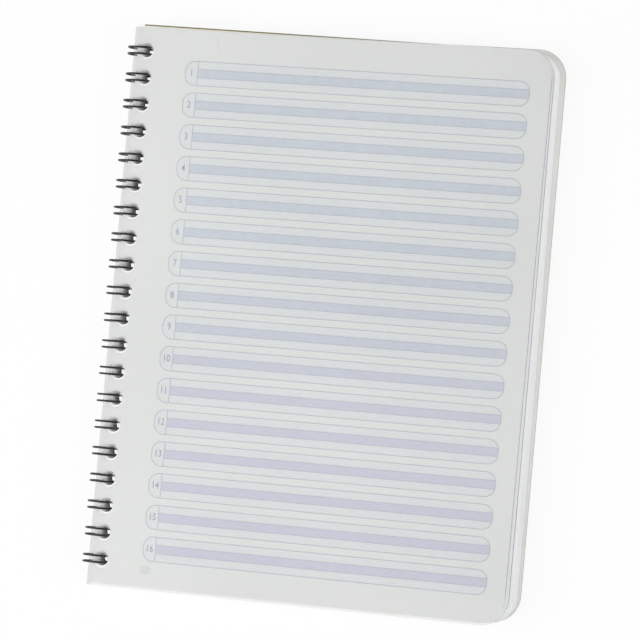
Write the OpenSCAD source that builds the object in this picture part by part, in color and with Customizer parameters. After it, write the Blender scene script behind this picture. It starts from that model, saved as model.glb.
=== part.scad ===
// Twin-loop wire-bound notebook with plastic covers, lying closed on its back cover.
// X runs from the binding to the fore edge, Y to the head, Z up through the front cover.
// The loops' common axis is parallel to Y, and both covers swing about it.

/* [Covers] */
// Width of the front cover, from its spine edge to its fore edge
cover_w = 207; // [150:1:260]
// How much wider the back cover is
back_extra_w = 1.5; // [0:0.1:4]
// Height of each cover
cover_h = 265; // [180:1:330]
// Thickness of each plastic sheet
cover_t = 0.5; // [0.3:0.1:1.2]
// Radius of the two corners at the fore edge
cover_corner_r = 13.5; // [4:0.5:30]

/* [Pages] */
// Thickness of the whole stack of pages. Above 13 the holes need to be larger too
pages_t = 11; // [6:0.5:20]
// Width of a page
pages_w = 203.5; // [148:0.5:256]
// How much shorter a page is than a cover
pages_short = 0; // [0:0.5:6]
// Number of bundles that the stack is drawn in, each shifted to follow the loops
bundle_count = 11; // [3:1:15]
// Radius of the two page corners at the fore edge
pages_corner_r = 12.5; // [3:0.5:28]

/* [Holes] */
// Diameter of the punched holes
hole_d = 6.8; // [6.4:0.1:8.6]
// Distance from the middle of a cover's hole to its spine edge
hole_edge = 6.2; // [5.6:0.1:9]
// Distance from the middle of a page's hole to its spine edge, over which the covers turn
page_hole_edge = 4.8; // [4.2:0.1:5.1]

/* [Wire binding] */
// Least distance from the middle of the last hole to the head or the foot
end_margin = 11; // [8:0.5:20]
// Distance from one double loop to the next
loop_pitch = 12.7; // [11:0.1:12.7]
// Thickness of the wire
wire_d = 0.95; // [0.7:0.05:1.1]
// Distance between the two wires of one loop, centre to centre
strand_gap = 3.1; // [2.6:0.1:3.3]

/* [How the pieces lie] */
// Room between the inside of the loops and the front cover's spine edge, which turns in them
ring_room = 0.1; // [0.05:0.025:1.5]
// Gap between each cover and the pages, which lets the spine edges turn past them
cover_gap = 0.15; // [0.1:0.05:0.3]
// How far the front cover's holes lie behind the loops, towards the spine
front_lag = 0.93; // [0:0.01:1.2]
// How far the back cover's holes lie ahead of the loops, towards the fore edge
back_lead = -0.2; // [-0.9:0.05:1.2]
// Room between the wire and the outer side of the page holes
page_play = 0.13; // [0.05:0.01:0.3]
// Room all round the bars in the groove that they press into the last pages
groove_room = 0.25; // [0.08:0.01:0.3]
// Room between the bars of the wire and the inner side of the back cover
bar_room = 0.1; // [0.06:0.01:0.3]
// How much higher the loops sit than the front cover's holes
loop_rise = 0.7; // [0:0.05:0.7]
// How much higher the page holes sit than the loops
pages_rise = 0.3; // [0:0.05:0.5]
// How much higher the back cover's holes sit than the loops
back_rise = 0.7; // [0:0.05:0.7]

/* [Hidden] */
$fn = 64;

// Sides of the wire's round section before it is made a true circle
wire_fn = 24;
// How much thicker the wire is where it is bent most tightly, at the closed tips and at the bars
knuckle_swell = 0.025;
// Gap between the closed tips and the bars
seam_gap = 0.6;

back_cover_w = cover_w + back_extra_w;
pages_h = cover_h - pages_short;
loop_count = floor((cover_h - 2 * end_margin) / loop_pitch) + 1;
stack_t = pages_t + 2 * cover_gap + 2 * cover_t;
wire_r = wire_d / 2;
hole_r = hole_d / 2;

// The loops are as large as the front cover's spine edge needs. Their radius R, at which they cross the
// middle of the cover at crossing_x, and the outer corner of the spine edge, "reach" nearer the axis, solve
// R - inner_margin = norm([crossing_x - reach, stack_t / 2]) with R = norm([crossing_x, cover_mid_z])
cover_mid_z = (stack_t - cover_t) / 2;
reach = hole_edge + front_lag;
inner_margin = wire_r + ring_room;
balance = (pow(reach, 2) + pow(stack_t / 2, 2) - pow(cover_mid_z, 2) - pow(inner_margin, 2)) / 2;
span = pow(reach, 2) - pow(inner_margin, 2);
crossing_x = (reach * balance
    + inner_margin * sqrt(pow(balance, 2) + span * pow(cover_mid_z, 2))) / span;
ring_r = norm([crossing_x, cover_mid_z]);

// Half of a hole's width at the outer side of the wires, when the hole sits "rise" away from the loop
function clear_chord(rise) = sqrt(hole_r * hole_r - pow(strand_gap / 2 + wire_r + rise, 2));

// Places along X, counted from the loops' axis
front_hole_x = crossing_x - front_lag;
back_hole_x = crossing_x + back_lead;
front_spine_x = front_hole_x - hole_edge;
back_spine_x = back_hole_x - hole_edge;

// Places along Z, counted from the loops' axis
page_z = -pages_t / 2;
back_cover_z = -stack_t / 2;
front_cover_z = stack_t / 2 - cover_t;

// Each bundle of pages hangs on the loops by the outer sides of its holes, so its place along X follows
// from where it comes nearest to the height of the axis
bundle_t = pages_t / bundle_count;
function bundle_z(i) = page_z + i * bundle_t;
function nearest_z(i) = max(0, bundle_z(i), -bundle_z(i + 1));
function bundle_x(i) = sqrt(pow(ring_r + wire_r, 2) - pow(nearest_z(i), 2)) + page_play
    - clear_chord(pages_rise) - page_hole_edge;
farthest_bundle_x = bundle_x(floor(bundle_count / 2));

// The bars between the loops lie on the back cover, under the last pages
bar_z = back_cover_z + cover_t + bar_room + wire_r;
bar_x = sqrt(pow(ring_r, 2) - pow(bar_z, 2));

// Angles round the loop, counted from +X towards +Z, of the bars and of the wires' ends at the closed tip
root_angle = asin(bar_z / ring_r);
tip_angle = root_angle + (strand_gap / 2 + wire_d + seam_gap) / ring_r * 180 / PI;

// The loops' axis goes where the whole notebook's box is centred on X and Y and stands on Z = 0
low_x = min(-ring_r - wire_r, front_spine_x);
high_x = max(front_spine_x + cover_w, back_spine_x + back_cover_w, farthest_bundle_x + pages_w);
front_y = -loop_rise;
back_y = back_rise;
page_y = pages_rise;
high_y = max(front_y + cover_h / 2, back_y + cover_h / 2, page_y + pages_h / 2);
low_y = min(front_y - cover_h / 2, back_y - cover_h / 2, page_y - pages_h / 2);
axis_x = -(low_x + high_x) / 2;
axis_y = -(low_y + high_y) / 2;
axis_z = ring_r + wire_r;

function loop_y(i) = (i - (loop_count - 1) / 2) * loop_pitch;

// Flat sheet outline with a square spine edge at X = 0 and round corners at the fore edge
module sheet_outline(w, h, corner_r) {
    translate([0, -h / 2]) square([w - corner_r, h]);
    translate([0, corner_r - h / 2]) square([w, h - 2 * corner_r]);
    for (side = [-1, 1])
        translate([w - corner_r, side * (h / 2 - corner_r)]) circle(r = corner_r);
}

// Sheet with the row of punched holes, their middles "edge" away from the spine edge
module punched_sheet(w, h, corner_r, edge, t) {
    linear_extrude(height = t)
        difference() {
            sheet_outline(w, h, corner_r);
            for (i = [0 : loop_count - 1])
                translate([edge, loop_y(i)]) circle(r = hole_r);
        }
}

module at_axis() {
    translate([axis_x, axis_y, axis_z]) children();
}

module front_cover() {
    color([0.87, 0.87, 0.86])
        at_axis()
            translate([front_spine_x, front_y, front_cover_z])
                punched_sheet(cover_w, cover_h, cover_corner_r, hole_edge, cover_t);
}

module back_cover() {
    color([0.84, 0.84, 0.82])
        at_axis()
            translate([back_spine_x, back_y, back_cover_z])
                punched_sheet(back_cover_w, cover_h, cover_corner_r, hole_edge, cover_t);
}

// All the pages as one stepped solid, with the groove that the bars of the wire press into the last ones
module page_block() {
    groove_w = wire_d + 2 * groove_room;
    groove_h = bar_z + wire_r + groove_room - page_z;
    color([0.97, 0.97, 0.96])
        at_axis()
            difference() {
                for (i = [0 : bundle_count - 1])
                    translate([bundle_x(i), page_y, bundle_z(i)])
                        punched_sheet(pages_w, pages_h, pages_corner_r, page_hole_edge, bundle_t);
                translate([bar_x - groove_w / 2, loop_y(0), page_z - groove_h])
                    cube([groove_w, loop_y(loop_count - 1) - loop_y(0), 2 * groove_h]);
            }
}

// Part of a ring of wire round Z, of radius r and angle a, that starts on +X
module wire_arc(r, a) {
    rotate_extrude(angle = a) translate([r, 0]) circle(r = wire_r, $fn = wire_fn);
}

module knuckle() {
    sphere(r = wire_r + knuckle_swell, $fn = wire_fn);
}

// Puts its child on the loop at an angle round Y, with the child's X pointing away from the axis
module on_loop(angle) {
    rotate([0, -angle, 0]) translate([ring_r, 0, 0]) children();
}

// One of the two wires of a loop, from the closed tip round to the root
module strand() {
    rotate([90, 0, 0])
        rotate([0, 0, tip_angle])
            wire_arc(ring_r, 360 + root_angle - tip_angle);
    on_loop(tip_angle) knuckle();
    on_loop(root_angle) knuckle();
}

// The two wires of one loop and the closed tip that joins them
module double_loop() {
    for (side = [-1, 1])
        translate([0, side * strand_gap / 2, 0]) strand();
    on_loop(tip_angle)
        rotate([0, 0, 90])
            rotate([-90, 0, 0])
                wire_arc(strand_gap / 2, 180);
}

// The bar that joins the root of one loop to the root of the next
module bar() {
    on_loop(root_angle)
        translate([0, strand_gap / 2, 0])
            rotate([-90, 0, 0])
                cylinder(r = wire_r, h = loop_pitch - strand_gap, $fn = wire_fn);
}

// The binding is one wire, cut at the first loop and at the last
module wire_binding() {
    color([0.08, 0.08, 0.08])
        at_axis()
            for (i = [0 : loop_count - 1])
                translate([0, loop_y(i), 0]) {
                    double_loop();
                    if (i < loop_count - 1) bar();
                }
}

front_cover();
page_block();
back_cover();
wire_binding();
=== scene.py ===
import math
import random

import bpy
import bmesh
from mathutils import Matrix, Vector


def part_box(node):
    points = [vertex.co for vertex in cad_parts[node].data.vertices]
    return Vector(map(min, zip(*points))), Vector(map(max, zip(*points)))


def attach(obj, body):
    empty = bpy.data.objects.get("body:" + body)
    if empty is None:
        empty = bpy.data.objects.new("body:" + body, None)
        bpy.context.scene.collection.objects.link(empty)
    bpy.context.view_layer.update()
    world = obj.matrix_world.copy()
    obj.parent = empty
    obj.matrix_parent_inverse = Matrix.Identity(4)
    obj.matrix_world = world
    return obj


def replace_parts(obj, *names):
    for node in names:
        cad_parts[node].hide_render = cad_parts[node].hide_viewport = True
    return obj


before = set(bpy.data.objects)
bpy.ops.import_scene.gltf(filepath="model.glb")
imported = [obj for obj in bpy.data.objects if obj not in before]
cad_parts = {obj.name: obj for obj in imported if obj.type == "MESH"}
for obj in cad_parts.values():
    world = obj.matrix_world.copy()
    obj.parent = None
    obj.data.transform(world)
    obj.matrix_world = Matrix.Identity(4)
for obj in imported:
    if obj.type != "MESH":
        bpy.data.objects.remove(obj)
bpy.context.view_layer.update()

MM = 0.001

# Camera, solved on the four corners of the front cover in the 640 x 640 photograph
CAMERA_PLACE = (0.6213, -0.0375, 1.8672)
CAMERA_TURN_DEG = (2.777, 18.299, 5.294)
FOCAL_PIXELS = 4200
PHOTO_SIDE = 640
SENSOR_MM = 36

# How much of the front film is haze, and the painted shade along its spine edge, where no page backs it
FILM_HAZE = 0.24
SPINE_STRIP = 1.9 * MM
SPINE_FADE = 0.05 * MM
SPINE_PAINTED_SHADE = (0.42, 0.43, 0.42)

# The stack of pages. Its fore edge leans out towards the last leaf, and its edges run out of square
BUNDLES = 34
BUNDLE_GAP = 0.03 * MM
BUNDLE_JITTER = 0.12 * MM
TURNING_ROOM = 0.05 * MM
FIRST_LEAF_INSET = 1.6 * MM
LAST_LEAF_OUTSET = 0.2 * MM
FIRST_LEAF_SKEW = 1.0 * MM
LAST_LEAF_SKEW = -1.3 * MM
HEAD_SKEW = 1.25 * MM
HEAD_DROP = 0.25 * MM
LEAF_EDGE_R = 0.02 * MM

# Edges and roundness of the sheets
SHEET_EDGE_R = 0.2 * MM
CORNER_STEPS = 16
# Faces whose normal leans less than this out of the level are edges, and beyond this along X, fore edges
FLAT_ENOUGH = 0.97
FACES_FORE = 0.35

# The binding, as the frame's own solids have it
HOLE_COUNT = 20
HOLE_PITCH = 12.7 * MM
HOLE_R = 3.4 * MM
HOLE_EDGE = 6.2 * MM
HOLE_SIDES = 40
WIRE_R = 0.475 * MM
STRAND_GAP = 3.1 * MM
SEAM_GAP = 0.6 * MM
BAR_ROOM = 0.1 * MM
PAGE_PLAY = 0.13 * MM
PAGE_HOLE_EDGE = 4.8 * MM
COVER_CORNER_R = 13.5 * MM
PAGE_CORNER_R = 12.5 * MM
FRONT_HOLE_DROP = 0.7 * MM
BACK_HOLE_RISE = 0.7 * MM
PAGE_HOLE_RISE = 0.3 * MM

cover_low, cover_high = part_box("front_cover")
page_low, page_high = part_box("page_block")
back_low, back_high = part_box("back_cover")
wire_low, wire_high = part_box("wire_binding")

# The loops' common axis and radius, and the angles round it where the bars and the closed tips are
RING_R = (wire_high.z - wire_low.z) / 2 - WIRE_R
AXIS_X = wire_low.x + WIRE_R + RING_R
AXIS_Z = (wire_high.z + wire_low.z) / 2
ROOT_ANGLE = math.asin((back_high.z + BAR_ROOM + WIRE_R - AXIS_Z) / RING_R)
TIP_ANGLE = ROOT_ANGLE + (STRAND_GAP / 2 + 2 * WIRE_R + SEAM_GAP) / RING_R


def material(name):
    """A new material with its output and an empty node tree."""
    mat = bpy.data.materials.new(name)
    mat.use_nodes = True
    mat.node_tree.nodes.clear()
    out = mat.node_tree.nodes.new("ShaderNodeOutputMaterial")
    return mat, mat.node_tree.nodes, mat.node_tree.links, out


def principled(nodes, links, out, **sockets):
    """A Principled shader with the named sockets set, linked to the output."""
    shader = nodes.new("ShaderNodeBsdfPrincipled")
    for name, value in sockets.items():
        shader.inputs[name.replace("_", " ")].default_value = value
    links.new(shader.outputs["BSDF"], out.inputs["Surface"])
    return shader


def noise(nodes, links, scale, detail=4.0, stretch=(1, 1, 1)):
    """Noise in the object's own coordinates, in metres."""
    coords = nodes.new("ShaderNodeTexCoord")
    mapping = nodes.new("ShaderNodeMapping")
    mapping.inputs["Scale"].default_value = stretch
    texture = nodes.new("ShaderNodeTexNoise")
    texture.inputs["Scale"].default_value = scale
    texture.inputs["Detail"].default_value = detail
    links.new(coords.outputs["Object"], mapping.inputs["Vector"])
    links.new(mapping.outputs["Vector"], texture.inputs["Vector"])
    return texture.outputs["Fac"]


def ramp(nodes, links, source, low, high, start=0.3, end=0.7):
    """Turns a value into a colour between two."""
    node = nodes.new("ShaderNodeValToRGB")
    node.color_ramp.elements[0].position = start
    node.color_ramp.elements[0].color = (*low, 1)
    node.color_ramp.elements[1].position = end
    node.color_ramp.elements[1].color = (*high, 1)
    links.new(source, node.inputs["Fac"])
    return node.outputs["Color"]


def bump(nodes, links, shader, source, strength, distance):
    """Lets a value raise the shader's surface by up to a distance in metres."""
    node = nodes.new("ShaderNodeBump")
    node.inputs["Strength"].default_value = strength
    node.inputs["Distance"].default_value = distance
    links.new(source, node.inputs["Height"])
    links.new(node.outputs["Normal"], shader.inputs["Normal"])


def along(nodes, links, axis, start, end, low, high):
    """A value that goes from low to high between two places along one axis of the object."""
    coords = nodes.new("ShaderNodeTexCoord")
    split = nodes.new("ShaderNodeSeparateXYZ")
    spread = nodes.new("ShaderNodeMapRange")
    spread.inputs["From Min"].default_value = start
    spread.inputs["From Max"].default_value = end
    spread.inputs["To Min"].default_value = low
    spread.inputs["To Max"].default_value = high
    links.new(coords.outputs["Object"], split.inputs["Vector"])
    links.new(split.outputs[axis], spread.inputs["Value"])
    return spread.outputs["Result"]


def frosted_plastic(name, low, high):
    """Matt sheet: a fine grain, and slow drifts of tone across it."""
    mat, nodes, links, out = material(name)
    shader = principled(nodes, links, out, Roughness=0.45, IOR=1.49, Specular_IOR_Level=0.3)
    drift = noise(nodes, links, 9.0, 1.0)
    links.new(ramp(nodes, links, drift, low, high), shader.inputs["Base Color"])
    bump(nodes, links, shader, noise(nodes, links, 2600.0, 1.0), 0.2, 0.00004)
    return mat, nodes, links, shader


def front_film():
    """The translucent front sheet, with painted shade along the spine edge, where no page backs it."""
    mat, nodes, links, shader = frosted_plastic("frosted_cover", (0.695, 0.705, 0.68), (0.745, 0.755, 0.73))
    shader.inputs["Alpha"].default_value = FILM_HAZE
    # Painted shade: the film's colour turns darker over the strip along the spine edge
    page_from = cover_low.x + SPINE_STRIP
    tone = nodes.new("ShaderNodeMix")
    tone.data_type = "RGBA"
    links.new(along(nodes, links, "X", page_from, page_from + SPINE_FADE, 1, 0), tone.inputs["Factor"])
    links.new(shader.inputs["Base Color"].links[0].from_socket, tone.inputs["A"])
    tone.inputs["B"].default_value = (*SPINE_PAINTED_SHADE, 1)
    links.new(tone.outputs["Result"], shader.inputs["Base Color"])
    return mat


def edge_shade_and_wear_film(name, low, high, haze):
    """The cut edge of a sheet, where more light is lost in the plastic, darkened further by painted shade
    for the edge in shadow.
    """
    mat, nodes, links, shader = frosted_plastic(name, low, high)
    shader.inputs["Alpha"].default_value = haze
    return mat


def leaf_edges():
    """The edges of the leaves: white, with the thin grey lines between them running round the block."""
    mat, nodes, links, out = material("leaf_edges")
    shader = principled(nodes, links, out, Roughness=0.8, Specular_IOR_Level=0.2)
    leaves = noise(nodes, links, 14.0, 2.0, stretch=(1, 1, 420))
    tones = ramp(nodes, links, leaves, (0.84, 0.85, 0.865), (0.965, 0.97, 0.965), 0.36, 0.5)
    links.new(tones, shader.inputs["Base Color"])
    return mat


def first_page():
    """The face of white uncoated paper, with its fibre grain."""
    mat, nodes, links, out = material("paper")
    shader = principled(nodes, links, out, Roughness=0.75, Specular_IOR_Level=0.25)
    fibres = noise(nodes, links, 900.0, 2.0)
    tones = ramp(nodes, links, fibres, (0.90, 0.91, 0.92), (0.94, 0.945, 0.955))
    links.new(tones, shader.inputs["Base Color"])
    bump(nodes, links, shader, noise(nodes, links, 1500.0, 2.0), 0.2, 0.00005)
    return mat


def ink_and_painted_shade(name, low, high, foot_tone=None):
    """Printed ink on paper, and the painted shade strips on the first leaf: a little uneven, as a tint is,
    and of another tone near the foot.
    """
    mat, nodes, links, out = material(name)
    shader = principled(nodes, links, out, Roughness=0.7, Specular_IOR_Level=0.2)
    tint = ramp(nodes, links, noise(nodes, links, 260.0, 2.0), low, high)
    if foot_tone:
        tone = nodes.new("ShaderNodeMix")
        tone.data_type = "RGBA"
        share = along(nodes, links, "Y", FOOT_TONE_FROM, FOOT_TONE_FULL, 0, FOOT_TONE_SHARE)
        links.new(share, tone.inputs["Factor"])
        links.new(tint, tone.inputs["A"])
        tone.inputs["B"].default_value = (*foot_tone, 1)
        tint = tone.outputs["Result"]
    links.new(tint, shader.inputs["Base Color"])
    return mat


def black_wire():
    """Black coated steel: satin, with a slight unevenness in the coat."""
    mat, nodes, links, out = material("black_wire")
    shader = principled(nodes, links, out, Roughness=0.42, Specular_IOR_Level=0.35, Coat_Weight=0.15)
    coat = noise(nodes, links, 900.0, 3.0)
    tones = ramp(nodes, links, coat, (0.006, 0.006, 0.007), (0.016, 0.016, 0.018))
    links.new(tones, shader.inputs["Base Color"])
    bump(nodes, links, shader, coat, 0.15, 0.00003)
    return mat


def add_object(name, mesh, mat, body):
    """A piece of the notebook, riding a body of the frame."""
    obj = bpy.data.objects.new(name, mesh)
    bpy.context.collection.objects.link(obj)
    obj.data.materials.clear()
    obj.data.materials.append(mat)
    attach(obj, body)
    return obj


def add_spline(curve, points):
    """A closed outline of straight stretches."""
    spline = curve.splines.new("POLY")
    spline.points.add(len(points) - 1)
    for point, (x, y) in zip(spline.points, points):
        point.co = (x, y, 0, 1)
    spline.use_cyclic_u = True


def sheet_outline(low, high, corner_r, fore_skew, head_skew):
    """Square at the spine edge, round at the fore edge. The skews turn the fore edge and the head."""
    points = [(low.x, high.y + head_skew / 2), (low.x, low.y)]
    for side, first in ((-1, -90), (1, 0)):
        middle_x = high.x - corner_r + side * fore_skew / 2
        middle_y = low.y + corner_r if side < 0 else high.y - corner_r - head_skew / 2
        for step in range(CORNER_STEPS + 1):
            angle = math.radians(first + 90 * step / CORNER_STEPS)
            points.append((middle_x + corner_r * math.cos(angle), middle_y + corner_r * math.sin(angle)))
    return points


def hole_outline(x, y, r):
    """A circle of points."""
    return [
        (x + r * math.cos(2 * math.pi * k / HOLE_SIDES), y + r * math.sin(2 * math.pi * k / HOLE_SIDES))
        for k in range(HOLE_SIDES)
    ]


def loop_y(index):
    """Middle of a double loop, counted from the foot of the notebook."""
    return (index - (HOLE_COUNT - 1) / 2) * HOLE_PITCH


def punched_mesh(name, low, high, corner_r, hole_edge, holes_up, edge_r, fore_skew=0, head_skew=0):
    """Mesh of a sheet between two heights, with rounded edges and the row of holes."""
    curve = bpy.data.curves.new(name, "CURVE")
    curve.dimensions = "2D"
    curve.fill_mode = "BOTH"
    add_spline(curve, sheet_outline(low, high, corner_r, fore_skew, head_skew))
    for index in range(HOLE_COUNT):
        add_spline(curve, hole_outline(low.x + hole_edge, loop_y(index) + holes_up, HOLE_R))
    curve.extrude = (high.z - low.z) / 2 - edge_r
    curve.bevel_depth = edge_r
    curve.bevel_resolution = 1
    curve.offset = -edge_r
    holder = bpy.data.objects.new(name + "_curve", curve)
    bpy.context.collection.objects.link(holder)
    bpy.context.view_layer.update()
    mesh = bpy.data.meshes.new_from_object(holder.evaluated_get(bpy.context.evaluated_depsgraph_get()))
    bpy.data.objects.remove(holder)
    bpy.data.curves.remove(curve)
    for vertex in mesh.vertices:
        vertex.co.z += (high.z + low.z) / 2
    return mesh


def side_faces_take(obj, mat, fore_only=False):
    """Gives the faces that stand on edge, or those of the fore edge alone, a material of their own."""
    obj.data.materials.append(mat)
    for polygon in obj.data.polygons:
        at_fore_edge = polygon.center.x > 0 and polygon.normal.x > FACES_FORE
        if abs(polygon.normal.z) < FLAT_ENOUGH and (at_fore_edge or not fore_only):
            polygon.material_index = 1


def make_covers():
    """The translucent front sheet, which swings, and the back sheet, which stays with the pages."""
    mesh = punched_mesh(
        "front_sheet", cover_low, cover_high, COVER_CORNER_R, HOLE_EDGE, -FRONT_HOLE_DROP, SHEET_EDGE_R
    )
    front = add_object("front_sheet", mesh, front_film(), "front")
    # Front sheet's fore edge: dark blue-grey, partly the plastic's own cut edge and partly painted shade of
    # the gap under it
    side_faces_take(front, edge_shade_and_wear_film("cover_edge", (0.16, 0.20, 0.25), (0.22, 0.26, 0.32), 0.85), True)
    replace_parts(front, "front_cover")

    mesh = punched_mesh(
        "back_sheet", back_low, back_high, COVER_CORNER_R, HOLE_EDGE, BACK_HOLE_RISE, SHEET_EDGE_R
    )
    back_mat = frosted_plastic("back_sheet", (0.87, 0.87, 0.835), (0.92, 0.92, 0.885))[0]
    back = add_object("back_sheet", mesh, back_mat, "pages")
    # Back sheet's cut edges: painted shade, a darker olive grey for the edges in shadow
    side_faces_take(back, edge_shade_and_wear_film("back_edge_shade", (0.46, 0.46, 0.42), (0.54, 0.54, 0.50), 1))
    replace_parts(back, "back_cover")


def leaf_places(low_z, high_z):
    """Spine edge and holes of leaves at a height: they hang on the loops, clear of the turning covers."""
    nearest = max(0, low_z - AXIS_Z, AXIS_Z - high_z)
    farthest = max(abs(low_z - AXIS_Z), abs(high_z - AXIS_Z))
    clear_y = STRAND_GAP / 2 + WIRE_R + PAGE_HOLE_RISE
    chord = math.sqrt(HOLE_R ** 2 - clear_y ** 2)
    holes = math.sqrt((RING_R + WIRE_R) ** 2 - nearest ** 2) + PAGE_PLAY - chord
    turning = -math.sqrt(max(0, (cover_low.z - AXIS_Z - TURNING_ROOM) ** 2 - farthest ** 2))
    return AXIS_X + max(holes - PAGE_HOLE_EDGE, turning), AXIS_X + holes


def make_pages():
    """The stack, as bundles of leaves a hair apart and a hair out of line."""
    chance = random.Random(7)
    thickness = (page_high.z - page_low.z) / BUNDLES
    joined = bmesh.new()
    for index in range(BUNDLES):
        low = page_low.copy()
        high = page_high.copy()
        low.z = page_low.z + index * thickness + BUNDLE_GAP / 2
        high.z = low.z + thickness - BUNDLE_GAP
        low.x, holes_x = leaf_places(low.z, high.z)
        share = (index + 0.5) / BUNDLES
        outset = LAST_LEAF_OUTSET - share * (FIRST_LEAF_INSET + LAST_LEAF_OUTSET)
        high.x = cover_high.x + outset - chance.uniform(0, BUNDLE_JITTER)
        fore_skew = LAST_LEAF_SKEW + share * (FIRST_LEAF_SKEW - LAST_LEAF_SKEW)
        high.y -= HEAD_DROP + chance.uniform(0, BUNDLE_JITTER)
        low.y += chance.uniform(0, BUNDLE_JITTER)
        mesh = punched_mesh(
            "bundle", low, high, PAGE_CORNER_R, holes_x - low.x, PAGE_HOLE_RISE, LEAF_EDGE_R,
            fore_skew, HEAD_SKEW,
        )
        joined.from_mesh(mesh)
        bpy.data.meshes.remove(mesh)
    leaves = add_object("leaves", finish_mesh(joined, "leaves"), first_page(), "pages")
    side_faces_take(leaves, leaf_edges())
    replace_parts(leaves, "page_block")
    make_head_lines(low, high)
    make_fore_line(high, fore_skew)


def strip(bm, points, z):
    """A narrow flat strip along points of x, y and half width."""
    edges = []
    for x, y, half in points:
        edges.append((bm.verts.new((x, y - half, z)), bm.verts.new((x, y + half, z))))
    for (low_a, high_a), (low_b, high_b) in zip(edges, edges[1:]):
        bm.faces.new((low_a, low_b, high_b, high_a))


def make_fore_line(high, skew):
    """Painted shade: a thin blue-grey strip for the shaded fore edge of the first leaf, seen through the
    front sheet as a thin line.
    """
    bm = bmesh.new()
    reach = high.y - PAGE_CORNER_R
    corners = []
    for side, end in ((-1, -reach), (1, reach)):
        edge_x = high.x + side * skew / 2
        corners.append(((edge_x - FORE_LINE, end), (edge_x, end)))
    (foot_in, foot_out), (head_in, head_out) = corners
    lift = high.z + PRINT_LIFT
    bm.faces.new([bm.verts.new((x, y, lift)) for x, y in (foot_in, foot_out, head_out, head_in)])
    shade = ink_and_painted_shade("fore_shade", (0.30, 0.34, 0.40), (0.38, 0.42, 0.48))
    add_object("fore_shade", finish_mesh(bm, "fore_shade"), shade, "pages")


def make_head_lines(low, high):
    """Painted shade and a cream strip along the head edge of the first leaf, widest at the spine and gone
    before the fore edge.
    """
    lift = high.z + PRINT_LIFT
    for name, inset, half, end, tones in HEAD_LINES:
        bm = bmesh.new()
        points = []
        for step in range(HEAD_STEPS + 1):
            share = step / HEAD_STEPS
            x = low.x + HEAD_START + share * end
            along = (x - low.x) / (high.x - PAGE_CORNER_R - low.x)
            head_y = high.y + HEAD_SKEW * (0.5 - along)
            points.append((x, head_y - inset, half * (1 - share ** 3)))
        strip(bm, points, lift)
        add_object(name, finish_mesh(bm, name), ink_and_painted_shade(name, *tones), "pages")


# Print of the first page, in millimetres of the page
PRINT_LIFT = 0.03 * MM
ROWS = 16
ROW_PITCH = 15.0 * MM
ROW_TOP = 117.1 * MM
ROW_LEFT = -75.4 * MM
ROW_RIGHT = 93.45 * MM
ROW_HEIGHT = 11.5 * MM
ROW_CORNER_R = 4.8 * MM
ROW_CORNER_STEPS = 10
BAND_TOP = 3.7 * MM
BAND_HEIGHT = 4.0 * MM
CELL_WIDTH = 6.2 * MM
LINE_WIDTH = 0.38 * MM
THIN_LINE = 0.34 * MM
DIGIT_HEIGHT = 3.2 * MM
DIGIT_WEIGHT = 0.05 * MM
DIGIT_WIDTH_SHARE = 0.85
DIGIT_CAP_SHARE = 0.7
DIGIT_NUDGE = 0.1 * MM
DIGIT_SMOOTHNESS = 3
LINE_LIFT = 0.005 * MM
TINT_DROP = 0.01 * MM
BAND_VIOLET = (0.66, 0.66, 0.86)
FOOT_TONE_FROM = 0.04
FOOT_TONE_FULL = -0.06
FOOT_TONE_SHARE = 0.85

FORE_LINE = 0.3 * MM

# Strips along the head edge, a painted shade line and a cream strip: how far in from the edge, half width,
# length, and colours
HEAD_START = 2.6 * MM
HEAD_STEPS = 24
HEAD_LINES = (
    # A dark olive strip of painted shade at the first leaf's head edge
    ("head_shade", 0.32 * MM, 0.3 * MM, 150 * MM, ((0.13, 0.125, 0.07), (0.20, 0.19, 0.11))),
    ("head_cream", 0.84 * MM, 0.24 * MM, 120 * MM, ((0.78, 0.74, 0.58), (0.84, 0.80, 0.64))),
)


def rounded_box(left, right, low, high, r):
    """A rectangle with round corners, from the lower right one round."""
    corners = (
        (right - r, low + r, -90),
        (right - r, high - r, 0),
        (left + r, high - r, 90),
        (left + r, low + r, 180),
    )
    points = []
    for x, y, first in corners:
        for step in range(ROW_CORNER_STEPS + 1):
            angle = math.radians(first + 90 * step / ROW_CORNER_STEPS)
            points.append((x + r * math.cos(angle), y + r * math.sin(angle)))
    return points


def flat_ring(bm, outer, inner, z):
    """A printed outline between two loops of as many points."""
    ring_out = [bm.verts.new((x, y, z)) for x, y in outer]
    ring_in = [bm.verts.new((x, y, z)) for x, y in inner]
    count = len(outer)
    for k in range(count):
        bm.faces.new((ring_out[k], ring_out[(k + 1) % count], ring_in[(k + 1) % count], ring_in[k]))


def flat_box(bm, left, right, low, high, z):
    """A printed rectangle."""
    corners = ((left, low), (right, low), (right, high), (left, high))
    bm.faces.new([bm.verts.new((x, y, z)) for x, y in corners])


def finish_mesh(bm, name):
    """Turns the working mesh into one that an object can hold, and frees it."""
    mesh = bpy.data.meshes.new(name)
    bm.to_mesh(mesh)
    bm.free()
    return mesh


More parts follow.
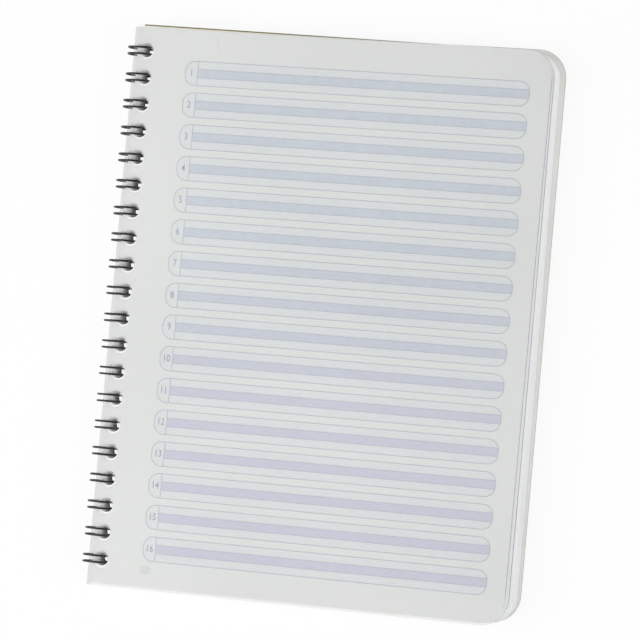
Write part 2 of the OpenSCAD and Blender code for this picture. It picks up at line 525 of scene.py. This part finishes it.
def make_print():
    """The sixteen ruling frames, each with a number cell and a tinted band."""
    top = page_high.z + PRINT_LIFT
    lines = bmesh.new()
    bands = bmesh.new()
    fields = bmesh.new()
    for row in range(ROWS):
        high = ROW_TOP - row * ROW_PITCH
        low = high - ROW_HEIGHT
        half = LINE_WIDTH / 2
        flat_ring(
            lines,
            rounded_box(ROW_LEFT - half, ROW_RIGHT + half, low - half, high + half, ROW_CORNER_R + half),
            rounded_box(ROW_LEFT + half, ROW_RIGHT - half, low + half, high - half, ROW_CORNER_R - half),
            top,
        )
        field = rounded_box(ROW_LEFT, ROW_RIGHT, low, high, ROW_CORNER_R)
        fields.faces.new([fields.verts.new((x, y, top - TINT_DROP)) for x, y in field])
        cell = ROW_LEFT + CELL_WIDTH
        flat_box(lines, cell - half, cell + half, low + half, high - half, top + LINE_LIFT)
        band_high = high - BAND_TOP
        band_low = band_high - BAND_HEIGHT
        flat_box(bands, cell + half, ROW_RIGHT - half, band_low, band_high, top)
        for y in (band_high, band_low):
            thin_low = y - THIN_LINE / 2
            flat_box(lines, cell + half, ROW_RIGHT - half, thin_low, thin_low + THIN_LINE, top + LINE_LIFT)
    line_ink = ink_and_painted_shade("line_ink", (0.46, 0.50, 0.61), (0.54, 0.58, 0.69))
    band_ink = ink_and_painted_shade("band_ink", (0.63, 0.70, 0.83), (0.68, 0.75, 0.88), BAND_VIOLET)
    field_ink = ink_and_painted_shade("field_ink", (0.865, 0.885, 0.92), (0.89, 0.91, 0.945))
    add_object("ruling_fields", finish_mesh(fields, "ruling_fields"), field_ink, "pages")
    add_object("ruling_lines", finish_mesh(lines, "ruling_lines"), line_ink, "pages")
    add_object("ruling_bands", finish_mesh(bands, "ruling_bands"), band_ink, "pages")
    make_numbers(top, ink_and_painted_shade("number_ink", (0.28, 0.31, 0.44), (0.36, 0.39, 0.52)))


def make_numbers(z, mat):
    """The plain numbers 1 to 16 in the cells at the left of the rows."""
    joined = bmesh.new()
    for row in range(ROWS):
        text = bpy.data.curves.new("number", "FONT")
        text.body = str(row + 1)
        text.align_x = "CENTER"
        text.align_y = "CENTER"
        text.size = DIGIT_HEIGHT / DIGIT_CAP_SHARE
        text.resolution_u = DIGIT_SMOOTHNESS
        text.offset = DIGIT_WEIGHT
        holder = bpy.data.objects.new("number", text)
        bpy.context.collection.objects.link(holder)
        bpy.context.view_layer.update()
        mesh = bpy.data.meshes.new_from_object(holder.evaluated_get(bpy.context.evaluated_depsgraph_get()))
        bpy.data.objects.remove(holder)
        bpy.data.curves.remove(text)
        middle_y = ROW_TOP - row * ROW_PITCH - ROW_HEIGHT / 2
        middle_x = ROW_LEFT + CELL_WIDTH / 2 + DIGIT_NUDGE
        for vertex in mesh.vertices:
            vertex.co.x = vertex.co.x * DIGIT_WIDTH_SHARE + middle_x
            vertex.co.y = vertex.co.y + middle_y
            vertex.co.z = z
        joined.from_mesh(mesh)
        bpy.data.meshes.remove(mesh)
    add_object("row_numbers", finish_mesh(joined, "row_numbers"), mat, "pages")


# Points round one wire of a loop, and round its bends
ARC_STEPS = 56
TIP_STEPS = 10
BEND_R = 0.9 * MM
BEND_STEPS = 5
LOOP_LEAN = 0.12
SECTION_SMOOTHNESS = 4


def wire_path():
    """The route of the one wire, loop by loop from the foot to the head."""
    chance = random.Random(3)
    path = []

    def ring_point(angle, y):
        return Vector((AXIS_X + RING_R * math.cos(angle), y, AXIS_Z + RING_R * math.sin(angle)))

    bend_angle = BEND_R / RING_R
    first = ROOT_ANGLE + 2 * math.pi
    for index in range(HOLE_COUNT):
        y = loop_y(index)
        lean = chance.uniform(-LOOP_LEAN, LOOP_LEAN) * MM
        half = STRAND_GAP / 2
        for side in (-1, 1):
            ends = [first - bend_angle if not (index == 0 and side < 0) else first, TIP_ANGLE]
            if side > 0:
                ends = [TIP_ANGLE, first - bend_angle if index < HOLE_COUNT - 1 else first]
            for step in range(ARC_STEPS + 1):
                angle = ends[0] + (ends[1] - ends[0]) * step / ARC_STEPS
                path.append(ring_point(angle, y + side * half + lean * math.sin(angle / 2)))
            if side < 0:
                base = ring_point(TIP_ANGLE, y)
                down = Vector((math.sin(TIP_ANGLE), 0, -math.cos(TIP_ANGLE)))
                for step in range(1, TIP_STEPS):
                    angle = math.pi * step / TIP_STEPS
                    across = Vector((0, -half * math.cos(angle), 0))
                    path.append(base + down * (half * math.sin(angle)) + across)
            elif index < HOLE_COUNT - 1:
                for near, far in ((y + half, 1), (y + HOLE_PITCH - half, -1)):
                    corner = ring_point(first, near)
                    leg_a = ring_point(first - bend_angle, near)
                    leg_b = corner + Vector((0, far * BEND_R, 0))
                    if far < 0:
                        leg_a, leg_b = leg_b, leg_a
                    for step in range(1, BEND_STEPS + 1):
                        t = step / (BEND_STEPS + 1)
                        path.append(leg_a * (1 - t) ** 2 + corner * (2 * t * (1 - t)) + leg_b * t ** 2)
    return path


def make_wire():
    """The binding, as a round section along the wire's route."""
    curve = bpy.data.curves.new("loops", "CURVE")
    curve.dimensions = "3D"
    curve.bevel_depth = WIRE_R
    curve.bevel_resolution = SECTION_SMOOTHNESS
    curve.use_fill_caps = True
    path = wire_path()
    spline = curve.splines.new("POLY")
    spline.points.add(len(path) - 1)
    for point, place in zip(spline.points, path):
        point.co = (*place, 1)
    holder = bpy.data.objects.new("loops_curve", curve)
    bpy.context.collection.objects.link(holder)
    bpy.context.view_layer.update()
    mesh = bpy.data.meshes.new_from_object(holder.evaluated_get(bpy.context.evaluated_depsgraph_get()))
    bpy.data.objects.remove(holder)
    bpy.data.curves.remove(curve)
    for polygon in mesh.polygons:
        polygon.use_smooth = True
    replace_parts(add_object("loops", mesh, black_wire(), "pages"), "wire_binding")


# Wear of the front sheet: the points of a scratch near the head, and the middle of a smudge near the foot
SCRATCH = (
    (-62.1 * MM, 130.9 * MM),
    (-60.2 * MM, 126.2 * MM),
    (-58.9 * MM, 123.4 * MM),
    (-57.1 * MM, 120.3 * MM),
)
SCRATCH_HALF = 0.18 * MM
SMUDGE = (-73.3 * MM, -123.7 * MM)
SMUDGE_R = (2.6 * MM, 2.2 * MM)
SMUDGE_SIDES = 24
WEAR_LIFT = 0.02 * MM


def make_wear():
    """A scratch and a smudge on the front sheet, both hardly seen."""
    lift = cover_high.z + WEAR_LIFT
    marks = bmesh.new()
    rows = [
        (marks.verts.new((x - SCRATCH_HALF, y, lift)), marks.verts.new((x + SCRATCH_HALF, y, lift)))
        for x, y in SCRATCH
    ]
    for (left_a, right_a), (left_b, right_b) in zip(rows, rows[1:]):
        marks.faces.new((left_b, right_b, right_a, left_a))
    marks.faces.new([
        marks.verts.new((
            SMUDGE[0] + SMUDGE_R[0] * math.cos(2 * math.pi * k / SMUDGE_SIDES),
            SMUDGE[1] + SMUDGE_R[1] * math.sin(2 * math.pi * k / SMUDGE_SIDES),
            lift,
        ))
        for k in range(SMUDGE_SIDES)
    ])
    worn = edge_shade_and_wear_film("worn_film", (0.40, 0.41, 0.41), (0.48, 0.49, 0.49), 0.07)
    add_object("wear_marks", finish_mesh(marks, "wear_marks"), worn, "front")


def make_camera():
    """The camera that took the photograph."""
    data = bpy.data.cameras.new("camera")
    data.sensor_width = SENSOR_MM
    data.lens = FOCAL_PIXELS * SENSOR_MM / PHOTO_SIDE
    data.clip_end = 20
    camera = bpy.data.objects.new("camera", data)
    camera.location = CAMERA_PLACE
    camera.rotation_euler = [math.radians(v) for v in CAMERA_TURN_DEG]
    bpy.context.collection.objects.link(camera)
    bpy.context.scene.camera = camera


def area_light(name, place, target, size, power):
    """A square lamp that looks at a place."""
    data = bpy.data.lights.new(name, "AREA")
    data.shape = "SQUARE"
    data.size = size
    data.energy = power
    light = bpy.data.objects.new(name, data)
    light.location = place
    light.rotation_euler = (Vector(target) - Vector(place)).to_track_quat("-Z", "Y").to_euler()
    bpy.context.collection.objects.link(light)


# The studio: light from all round, the floor's size, tone and share of glow, and the lamps
SKY_LIGHT = 0.36
FLOOR_HALF = 3.0
FLOOR_TONE = 0.9
FLOOR_GLOW = 0.9
LAMPS = (
    ("key", (-0.95, -0.25, 0.9), 1.1, 14.5),
    ("fill", (2.2, -0.3, 1.25), 1.2, 28),
)


def make_studio():
    """A white world and floor for the camera, with a soft key lamp at the left and a fill at the right."""
    scene = bpy.context.scene
    scene.view_settings.view_transform = "Standard"
    world = bpy.data.worlds.new("studio")
    scene.world = world
    world.use_nodes = True
    nodes = world.node_tree.nodes
    links = world.node_tree.links
    background = nodes["Background"]
    background.inputs["Color"].default_value = (1, 1, 1, 1)
    path = nodes.new("ShaderNodeLightPath")
    strength = nodes.new("ShaderNodeMapRange")
    strength.inputs["To Min"].default_value = SKY_LIGHT
    strength.inputs["To Max"].default_value = 1.0
    links.new(path.outputs["Is Camera Ray"], strength.inputs["Value"])
    links.new(strength.outputs["Result"], background.inputs["Strength"])

    mesh = bpy.data.meshes.new("floor")
    corners = [(x * FLOOR_HALF, y * FLOOR_HALF, 0) for x, y in ((-1, -1), (1, -1), (1, 1), (-1, 1))]
    mesh.from_pydata(corners, [], [(0, 1, 2, 3)])
    floor = bpy.data.objects.new("floor", mesh)
    bpy.context.collection.objects.link(floor)
    mat, nodes, links, out = material("floor")
    mix = nodes.new("ShaderNodeMixShader")
    diffuse = nodes.new("ShaderNodeBsdfDiffuse")
    diffuse.inputs["Color"].default_value = (FLOOR_TONE, FLOOR_TONE, FLOOR_TONE, 1)
    glow = nodes.new("ShaderNodeEmission")
    path = nodes.new("ShaderNodeLightPath")
    share = nodes.new("ShaderNodeMath")
    share.operation = "MULTIPLY"
    share.inputs[1].default_value = FLOOR_GLOW
    links.new(path.outputs["Is Camera Ray"], share.inputs[0])
    links.new(share.outputs["Value"], mix.inputs["Fac"])
    links.new(diffuse.outputs["BSDF"], mix.inputs[1])
    links.new(glow.outputs["Emission"], mix.inputs[2])
    links.new(mix.outputs["Shader"], out.inputs["Surface"])
    floor.data.materials.append(mat)

    for name, place, size, power in LAMPS:
        area_light(name, place, (0, 0, 0), size, power)


make_camera()
make_covers()
make_pages()
make_print()
make_wear()
make_wire()
make_studio()
